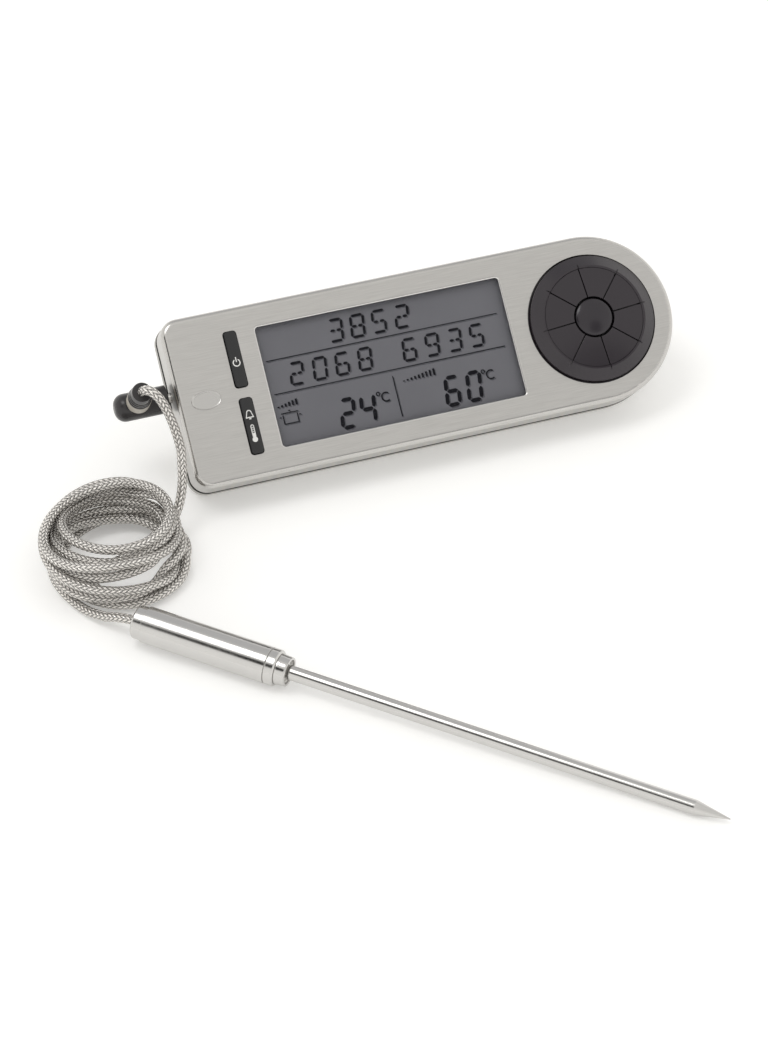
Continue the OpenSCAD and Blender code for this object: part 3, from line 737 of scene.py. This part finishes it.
probe_mount = next(m for m in frame["record"]["mounts"] if m["name"] == "probe_needle")
probe_along = Vector(probe_mount["axis"])
# About square to the unit's face.
CONTACT_AXIS = (0.0, 0.6, 0.8)

# One paint for each material slot of the record, and button_black for the button in the dial.
PAINTS = {
    "brushed_steel": brushed_paint(),
    "probe_steel": turned_paint("probe_steel", PROBE_COLOR, 0.16, probe_along),
    "steel_braid": braid_paint(),
    "rear_plastic": grain_paint("rear_plastic", (0.46, 0.45, 0.425), 0.38, 9000, 0.00003, spread=0.03),
    "dial_black": dial_paint("dial_black", (0.023, 0.018, 0.023), 0.00002, 0.12, 0.56, DIAL_DOME),
    "button_black": dial_paint("button_black", (0.026, 0.022, 0.027), 0.00001, 0.1, 0.45, BUTTON_DOME),
    "key_black": grain_paint("key_black", (0.013, 0.013, 0.014), 0.18, 9000, 0.00001),
    "plug_black": grain_paint("plug_black", (0.02, 0.018, 0.019), 0.24, 5000, 0.00002, spread=0.15),
    "collar_grey": grain_paint("collar_grey", (0.42, 0.39, 0.34), 0.4, 6000, 0.00003, spread=0.05),
    "black_frame": grain_paint("black_frame", (0.02, 0.02, 0.021), 0.5, 6000, 0.00005),
    "seal_rubber": grain_paint("seal_rubber", (0.02, 0.02, 0.02), 0.7, 4000, 0.00006),
    "foot_rubber": grain_paint("foot_rubber", (0.018, 0.018, 0.018), 0.75, 3000, 0.00008),
    "magnet_dark": grain_paint("magnet_dark", (0.16, 0.16, 0.165), 0.35, 7000, 0.00003, metal=0.8),
    "white_film": grain_paint("white_film", (0.8, 0.8, 0.77), 0.6, 3000, 0.00003, spread=0.02),
    "board_green": grain_paint("board_green", (0.02, 0.12, 0.05), 0.35, 2500, 0.00003),
    "black_chip": grain_paint("black_chip", (0.02, 0.02, 0.022), 0.5, 6000, 0.00004),
    "bearing_plastic": grain_paint("bearing_plastic", (0.03, 0.03, 0.031), 0.45, 6000, 0.00003, spread=0.03),
    "cell_jacket": grain_paint("cell_jacket", (0.03, 0.08, 0.12), 0.25, 800, 0.00002),
    "plated_steel": turned_paint("plated_steel", (0.66, 0.65, 0.63), 0.2, CONTACT_AXIS),
    "brass_contact": turned_paint("brass_contact", (0.72, 0.53, 0.22), 0.3, CONTACT_AXIS),
    "sensor_bead": grain_paint("sensor_bead", (0.5, 0.32, 0.1), 0.4, 3000, 0.00003),
    "wire_sleeve": grain_paint("wire_sleeve", (0.55, 0.05, 0.04), 0.45, 3000, 0.00003),
    "lcd_glass": lcd_paint(),
    "window_glass": glass_paint(),
}
INK_DARK = ink_paint("lcd_segment", (0.006, 0.006, 0.01), 0.5, specular=0.1)
INK_WHITE = ink_paint("key_print", (0.78, 0.78, 0.76), 0.5)
INK_SHADE = shade_paint()
BADGE_STEEL = grain_paint("badge_steel", (0.57, 0.56, 0.543), 0.27, 5000, 0.00002, metal=1.0, spread=0.02)
# Near black and almost without shine: the painted shadow in the seam between the two shells.
SEAM_SHADOW_BLACK = grain_paint("seam_shadow_black", (0.012, 0.012, 0.012), 0.7, 4000, 0.00006, specular=0.03)
RIM_STEEL = turned_paint("rim_steel", (0.7, 0.69, 0.675), 0.16, FACE_X)


def painted(piece, paint):
    piece.data.materials.clear()
    piece.data.materials.append(paint)
    return piece


painted(cable, PAINTS["steel_braid"])


# ---------------------------------------------------------------- the CAD's own shapes, finished

slot_of = {s["node"]: s["material_slot"] for s in frame["record"]["subparts"]}
body_of = {n: b for b, names in frame["record"]["behaviour"]["bodies"].items() for n in names}

# Nodes whose edges are rounded, with the radius in mm.
ROUNDED = {
    "front_shell": 0.2,
    "rear_shell": 0.25,
    "battery_cover": 0.2,
    "stand": 0.3,
    "stand_pad": 0.25,
    "magnet": 0.25,
    "case_screws": 0.08,
    "case_gasket": 0.1,
    "power_button": 0.14,
    "alarm_button": 0.14,
    "dial": 0.12,
    "dial_sectors": 0.12,
    "centre_button": 0.25,
    "plug_body": 0.25,
    "plug_collar": 0.2,
    "plug_boot": 0.1,
    "probe_end_cap": 0.15,
    "probe_handle": 0.1,
    "probe_ring": 0.08,
    "probe_collar": 0.12,
}
WINDOW_RIM = 0.3


def finish_nodes():
    """Gives every CAD node its paint, and those in ROUNDED rounded edges; returns the pieces by node name."""
    pieces = {}
    for name, node in nodes.items():
        paint = PAINTS[slot_of[name]]
        if name in ROUNDED:
            rim = WINDOW_RIM if name == "front_shell" else None
            piece = rounded_copy(name, body_of[name], ROUNDED[name], window_width=rim)
            pieces[name] = painted(piece, paint)
        else:
            for slot in node.material_slots:
                slot.link = "OBJECT"
                slot.material = paint
            pieces[name] = node
    return pieces


finished = finish_nodes()
painted(finished["centre_button"], PAINTS["button_black"])


# ---------------------------------------------------------------- shapes drawn on the face


def arc(cx, cy, r, start, stop, steps):
    """Points along an arc, in degrees anticlockwise."""
    angles = [math.radians(start + (stop - start) * k / steps) for k in range(steps + 1)]
    return [(cx + r * math.cos(t), cy + r * math.sin(t)) for t in angles]


def ring_stroke(cx, cy, r, width, start, stop, steps):
    """An arc of this width as short quads, in degrees anticlockwise."""
    inner = arc(cx, cy, r - width / 2, start, stop, steps)
    outer = arc(cx, cy, r + width / 2, start, stop, steps)
    return [[inner[k], outer[k], outer[k + 1], inner[k + 1]] for k in range(steps)]


def block(x0, x1, y0, y1):
    return [(x0, y0), (x1, y0), (x1, y1), (x0, y1)]


def strips(x0, x1, y0, y1, count=8):
    """A wide block cut into narrow ones, so that it follows the crown of a key."""
    step = (x1 - x0) / count
    return [block(x0 + step * k, x0 + step * (k + 1), y0, y1) for k in range(count)]


def plate(name, shapes, body, paint, height, thick):
    """Thin raised shapes on the unit's face. Each shape is an outline, and height gives their z at an x."""
    points = []
    faces = []
    for outline in shapes:
        first = len(points)
        count = len(outline)
        for z in (0.0, thick):
            points += [(x, y, height(x) + z) for x, y in outline]
        faces.append(tuple(range(first, first + count))[::-1])
        faces.append(tuple(range(first + count, first + 2 * count)))
        for k in range(count):
            j = (k + 1) % count
            faces.append((first + k, first + j, first + count + j, first + count + k))
    mesh = mesh_from(name, [UNIT @ Vector(p) for p in points], faces, 30)
    piece = new_object(name, mesh, body)
    return painted(piece, paint)


# ---------------------------------------------------------------- the display's figures

# The lit segments of each digit: a is the top stroke, b to f run clockwise from it, g is the middle one.
SEGMENTS = {
    "0": "abcdef",
    "2": "abged",
    "3": "abgcd",
    "4": "fgbc",
    "5": "afgcd",
    "6": "afgedc",
    "8": "abcdefg",
    "9": "abcdfg",
}
LEAN = math.tan(math.radians(7))
# Each row: digits, x of their lower left corners, their y, width, height, stroke, whether stroke g is split.
DIGIT_ROWS = [
    ("3852", (-74.7, -68.4, -62.1, -55.4), 8.7, 4.3, 6.7, 0.74, True),
    ("2068", (-88.3, -81.6, -75.1, -68.5), -0.8, 4.2, 6.6, 0.74, True),
    ("6935", (-55.5, -48.8, -42.2, -35.7), -0.8, 4.2, 6.6, 0.74, True),
    ("24", (-77.3, -71.4), -15.8, 4.7, 8.8, 1.12, False),
    ("60", (-46.7, -40.3), -15.8, 4.7, 8.8, 1.12, False),
]
LCD_Z = -1.985
SHADE_SHIFT = (0.3, -0.35)


def bar(a, b, width):
    """A straight stroke with pointed ends, as on a segment display."""
    a = np.array(a, float)
    b = np.array(b, float)
    d = (b - a) / np.linalg.norm(b - a)
    n = np.array([-d[1], d[0]]) * width / 2
    s = d * width / 2
    return [tuple(p) for p in (a, a + s - n, b - s - n, b, b - s + n, a + s + n)]


def digit(value, x, y, w, h, stroke, split):
    """The lit segments of one digit whose lower left corner is (x, y)."""
    gap = stroke * 0.18
    t = stroke / 2
    # Where each stroke runs, before the gaps at its ends.
    runs = {
        "a": ((t, h - t), (w - t, h - t)),
        "b": ((w - t, h / 2), (w - t, h - t)),
        "c": ((w - t, t), (w - t, h / 2)),
        "d": ((t, t), (w - t, t)),
        "e": ((t, t), (t, h / 2)),
        "f": ((t, h / 2), (t, h - t)),
        "g": ((t, h / 2), (w - t, h / 2)),
    }
    shapes = []
    for s in SEGMENTS[value]:
        (ax, ay), (bx, by) = runs[s]
        if s in "adg":
            a, b = (ax + gap, ay), (bx - gap, by)
        else:
            a, b = (ax, ay + gap), (bx, by - gap)
        strokes = [(a, b)]
        if s == "g" and split:
            mid = (a[0] + b[0]) / 2
            strokes = [(a, (mid - gap, a[1])), ((mid + gap, b[1]), b)]
        for start, stop in strokes:
            shapes.append([(x + px + LEAN * py, y + py) for px, py in bar(start, stop, stroke)])
    return shapes


def degree_c(x):
    """A small ring and the letter C to its right."""
    return ring_stroke(x, -7.9, 0.5, 0.32, 0, 360, 12) + ring_stroke(x + 2.1, -9.1, 1.25, 0.42, 50, 310, 12)


def rising_bars(x, step, count, lowest, rise):
    """A row of small bars, each taller than the one before."""
    return [block(x + step * k, x + step * k + 0.6, -6.0, lowest + rise * k) for k in range(count)]


def pot(cx, y):
    """A pot seen from the side, with its rim at y: bottom, walls, handles and the lid's knob."""
    shapes = [block(cx - 2.5, cx + 2.5, y, y + 0.3)]
    shapes += [block(cx - 1.9, cx + 1.9, y - 3.0, y - 2.7)]
    shapes += [block(cx + s - 0.15, cx + s + 0.15, y - 3.0, y - 0.3) for s in (-2.05, 2.05)]
    shapes += [block(cx + s - 0.3, cx + s + 0.3, y - 1.0, y - 0.7) for s in (-2.8, 2.8)]
    shapes += [block(cx - 0.3, cx + 0.3, y + 0.6, y + 0.9)]
    return shapes


def lcd_shapes():
    """Everything on the display: three rows of digits, the lines between them and the small signs."""
    shapes = []
    for text, lefts, y, w, h, stroke, split in DIGIT_ROWS:
        for value, x in zip(text, lefts):
            shapes += digit(value, x, y, w, h, stroke, split)
    shapes += [block(-93.5, -26.0, 7.26, 7.54), block(-93.4, -25.9, -2.24, -1.96)]
    shapes += [block(-59.69, -59.41, -15.5, -3.8)]
    shapes += degree_c(-64.8) + degree_c(-34.0)
    shapes += rising_bars(-93.4, 1.05, 6, -5.6, 0.26) + rising_bars(-57.0, 1.12, 9, -5.7, 0.2)
    shapes += pot(-90.4, -7.9)
    return shapes


shades = [[(x + SHADE_SHIFT[0], y + SHADE_SHIFT[1]) for x, y in outline] for outline in lcd_shapes()]
plate("lcd_segments", lcd_shapes(), "casing", INK_DARK, lambda x: LCD_Z, 0.03)
plate("lcd_shades", shades, "casing", INK_SHADE, lambda x: LCD_Z - 0.01, 0.004)


# ---------------------------------------------------------------- badge, seam and window rim

BADGE_X = -112.6
BADGE_SIZE = (8.6, 5.2)
# The badge's section from its edge inwards: share of its half size, height in mm.
BADGE_SECTION = [
    (1.0, 0.0),
    (0.998, 0.1),
    (0.985, 0.22),
    (0.965, 0.28),
    (0.94, 0.27),
    (0.915, 0.2),
    (0.9, 0.165),
    (0.84, 0.16),
]
BADGE_SIDES = 72


def ring_faces(count, first, second):
    """Quads between two rings of count points, which start at the points numbered first and second."""
    turn = [(k, (k + 1) % count) for k in range(count)]
    return [(first + k, first + j, second + j, second + k) for k, j in turn]


def oval_badge():
    """Blank raised oval with a fine rim, over the pressed pad beside the keys."""
    count = BADGE_SIDES
    points = []
    for share, z in BADGE_SECTION:
        for x, y in arc(0, 0, share / 2, 0, 360, count)[:-1]:
            points.append(UNIT @ Vector((BADGE_X + BADGE_SIZE[0] * x, BADGE_SIZE[1] * y, z)))
    faces = []
    for i in range(len(BADGE_SECTION) - 1):
        faces += ring_faces(count, i * count, (i + 1) * count)
    faces.append(tuple(range(len(points) - count, len(points))))
    faces.append(tuple(range(count))[::-1])
    piece = new_object("oval_badge", mesh_from("oval_badge", points, faces, 40), "casing")
    even_normals(piece)
    return painted(piece, BADGE_STEEL)


def casing_plan(grow):
    """Outline of the casing seen from the front, grown by some mm."""
    r = CASING_HALF + grow
    corner = CASING_CORNER + grow
    cx = CASING_LEFT - grow + corner
    dial_end = arc(0, 0, r, -90, 90, 64)
    return dial_end + arc(cx, r - corner, corner, 90, 180, 12) + arc(cx, corner - r, corner, 180, 270, 12)


def window_plan(grow):
    """Outline of the display window, grown by some mm."""
    points = []
    for sx, sy, first in ((1, 1, 0), (-1, 1, 90), (-1, -1, 180), (1, -1, 270)):
        cx = WINDOW_MID + sx * (WINDOW_W / 2 - WINDOW_CORNER)
        cy = sy * (WINDOW_H / 2 - WINDOW_CORNER)
        points += arc(cx, cy, WINDOW_CORNER + grow, first, first + 90, 8)
    return points


def belt(name, section, paint, outline):
    """A strip along an outline of the unit; its section is a list of (growth, height) in mm."""
    loops = [outline(grow) for grow, z in section]
    count = len(loops[0])
    points = [UNIT @ Vector((x, y, z)) for loop, (grow, z) in zip(loops, section) for x, y in loop]
    faces = []
    for i in range(len(section)):
        faces += ring_faces(count, i * count, (i + 1) % len(section) * count)
    piece = new_object(name, mesh_from(name, points, faces, 40), "casing")
    return painted(piece, paint)


# A near-black bead fills the gap between the two shells as painted shadow of the seam, and a lip runs round the
# rear one.
SEAM_TOP = -9.0
SEAM_LOW = -10.6
SEAM_INSIDE = -0.7
SEAM_SHADOW_BEAD = [(SEAM_INSIDE, SEAM_TOP), (0.03, SEAM_TOP), (0.03, SEAM_LOW), (SEAM_INSIDE, SEAM_LOW)]
LIP_LOW = -12.6
REAR_LIP = [
    (SEAM_INSIDE, SEAM_LOW),
    (0.06, SEAM_LOW),
    (0.16, SEAM_LOW - 0.1),
    (0.16, LIP_LOW + 0.1),
    (0.06, LIP_LOW),
    (SEAM_INSIDE, LIP_LOW),
]
# The window's rolled rim, a little inside the opening: a quarter round, then the two corners under it.
WINDOW_LIP = arc(0.2, -0.49, 0.5, 90, 180, 6) + [(-0.3, -0.79), (0.2, -0.79)]

oval_badge()
# The bead in the seam is painted shadow.
belt("seam_shadow_bead", SEAM_SHADOW_BEAD, SEAM_SHADOW_BLACK, casing_plan)
belt("rear_lip", REAR_LIP, PAINTS["rear_plastic"], casing_plan)
belt("window_lip", WINDOW_LIP, RIM_STEEL, window_plan)


# ---------------------------------------------------------------- the signs on the keys

BELL_HALF = 1.15
PRINT_LIFT = 0.005


def key_crown(x):
    """Height of the print on a key's rounded top."""
    return KEY_TOP + PRINT_LIFT - KEY_CROWN_R + math.sqrt(KEY_CROWN_R**2 - (x - KEY_X) ** 2)


def power_sign(y):
    """An open ring round y, with a stroke in its gap."""
    ring = ring_stroke(KEY_X, y, 0.95, 0.3, -240, 60, 22)
    return ring + [block(KEY_X - 0.15, KEY_X + 0.15, y + 0.2, y + 1.6)]


def bell(y):
    """A bell with its foot at y: two flanks, foot bar, clapper and round top."""
    left = [(-BELL_HALF, 0.2), (-BELL_HALF + 0.28, 0.2), (-0.5, 1.5), (-0.76, 1.4)]
    right = [(-px, py) for px, py in reversed(left)]
    shapes = [[(KEY_X + px, y + py) for px, py in flank] for flank in (left, right)]
    shapes += strips(KEY_X - BELL_HALF, KEY_X + BELL_HALF, y, y + 0.28)
    shapes += strips(KEY_X - 0.3, KEY_X + 0.3, y - 0.42, y - 0.12, 3)
    shapes += ring_stroke(KEY_X, y + 1.45, 0.63, 0.26, 0, 180, 10)
    return shapes


def gauge(y):
    """A glass thermometer with the middle of its filled bulb at y, and three marks in its tube."""
    shapes = ring_stroke(KEY_X, y, 0.38, 0.76, 0, 360, 20)
    shapes += strips(KEY_X - 0.42, KEY_X + 0.42, y + 0.4, y + 1.8, 4)
    shapes += [block(KEY_X + s - 0.12, KEY_X + s + 0.12, y + 0.8, y + 3.7) for s in (-0.38, 0.38)]
    shapes += ring_stroke(KEY_X, y + 3.7, 0.38, 0.24, 0, 180, 8)
    shapes += [block(KEY_X - 0.16, KEY_X + 0.16, y + up, y + up + 0.24) for up in (2.1, 2.65, 3.2)]
    return shapes


plate("power_print", power_sign(8.4), "power_button", INK_WHITE, key_crown, 0.03)
plate("alarm_print", bell(-7.3) + gauge(-13.4), "alarm_button", INK_WHITE, key_crown, 0.03)


# ---------------------------------------------------------------- floor, light

# The floor lies this far under the object, in metres.
FLOOR_DROP = 0.00002
PAPER_GLOW = 0.21
PAPER_TINT = (1.0, 0.99, 0.97)
# The room seen from the object, from the horizon to the zenith: (height in the sky, radiance).
SKY = [(0.0, 1.12), (0.4, 1.06), (0.6, 0.94), (0.82, 0.88), (1.0, 0.9)]
SKY_TINT = (1.0, 0.99, 0.965)
# Dim places in the room: the way to each, how near its middle it starts and is full, and its radiance.
DIM_PLACES = [
    ((-0.6, -0.37, 0.7), 0.972, 0.992, 0.0),
    ((0.25, -0.8, 0.55), 0.945, 0.995, 0.35),
    ((0.16, 0.66, 0.74), 0.86, 0.95, 0.66),
]
SOFTBOX_PLACE = Vector((-0.5, 0.02, 1.33))
SOFTBOX_SIDE = 0.54
SOFTBOX_WATTS = 2.9


def lay_floor():
    """Pale paper under the object, glowing faintly as if lit from all round."""
    floor = bmesh.new()
    bmesh.ops.create_grid(floor, x_segments=8, y_segments=8, size=6.0)
    mesh = bpy.data.meshes.new("floor")
    floor.to_mesh(mesh)
    floor.free()
    ground = bpy.data.objects.new("floor", mesh)
    bpy.context.scene.collection.objects.link(ground)
    ground.location = (0, 0, -FLOOR_DROP)
    paper = grain_paint("paper", (0.9, 0.9, 0.895), 0.8, 400, 0.00002, spread=0.004)
    shader = paper.node_tree.nodes["Principled BSDF"].inputs
    shader["Emission Color"].default_value = (*PAPER_TINT, 1.0)
    shader["Emission Strength"].default_value = PAPER_GLOW
    painted(ground, paper)


def dimmed(tree, where, light, way, edge, full, radiance):
    """The room's light with one dim place in it."""
    toward = tree.nodes.new("ShaderNodeVectorMath")
    toward.operation = "DOT_PRODUCT"
    toward.inputs[1].default_value = Vector(way).normalized()
    tree.links.new(where, toward.inputs[0])
    share = tree.nodes.new("ShaderNodeMapRange")
    share.interpolation_type = "SMOOTHSTEP"
    share.inputs["From Min"].default_value = edge
    share.inputs["From Max"].default_value = full
    tree.links.new(toward.outputs["Value"], share.inputs["Value"])
    room = tree.nodes.new("ShaderNodeMix")
    room.data_type = "RGBA"
    room.inputs[7].default_value = (*grey(radiance), 1.0)
    tree.links.new(share.outputs["Result"], room.inputs[0])
    tree.links.new(light, room.inputs[6])
    return room.outputs[2]


def light_room():
    """A bright room all round, with its dim places."""
    world = bpy.data.worlds.new("studio")
    bpy.context.scene.world = world
    world.use_nodes = True
    tree = world.node_tree
    where = tree.nodes.new("ShaderNodeTexCoord").outputs["Generated"]
    split = tree.nodes.new("ShaderNodeSeparateXYZ")
    tree.links.new(where, split.inputs["Vector"])
    ramp = tree.nodes.new("ShaderNodeValToRGB")
    tree.links.new(split.outputs["Z"], ramp.inputs["Fac"])
    fill_ramp(ramp, [(height, tuple(level * tint for tint in SKY_TINT)) for height, level in SKY])
    light = ramp.outputs["Color"]
    for place in DIM_PLACES:
        light = dimmed(tree, where, light, *place)
    background = tree.nodes["Background"]
    tree.links.new(light, background.inputs["Color"])
    background.inputs["Strength"].default_value = 1.0


def hang_softbox():
    """One square lamp above the left of the object, aimed at its origin."""
    data = bpy.data.lights.new("softbox", "AREA")
    data.shape = "RECTANGLE"
    data.size = SOFTBOX_SIDE
    data.size_y = SOFTBOX_SIDE
    data.energy = SOFTBOX_WATTS
    lamp = bpy.data.objects.new("softbox", data)
    bpy.context.scene.collection.objects.link(lamp)
    lamp.location = SOFTBOX_PLACE
    lamp.rotation_mode = "QUATERNION"
    lamp.rotation_quaternion = (-SOFTBOX_PLACE).to_track_quat("-Z", "Y")


def plain_colours():
    settings = bpy.context.scene.view_settings
    settings.view_transform = "Standard"
    settings.look = "None"
    settings.exposure = 0.0


lay_floor()
light_room()
hang_softbox()
plain_colours()
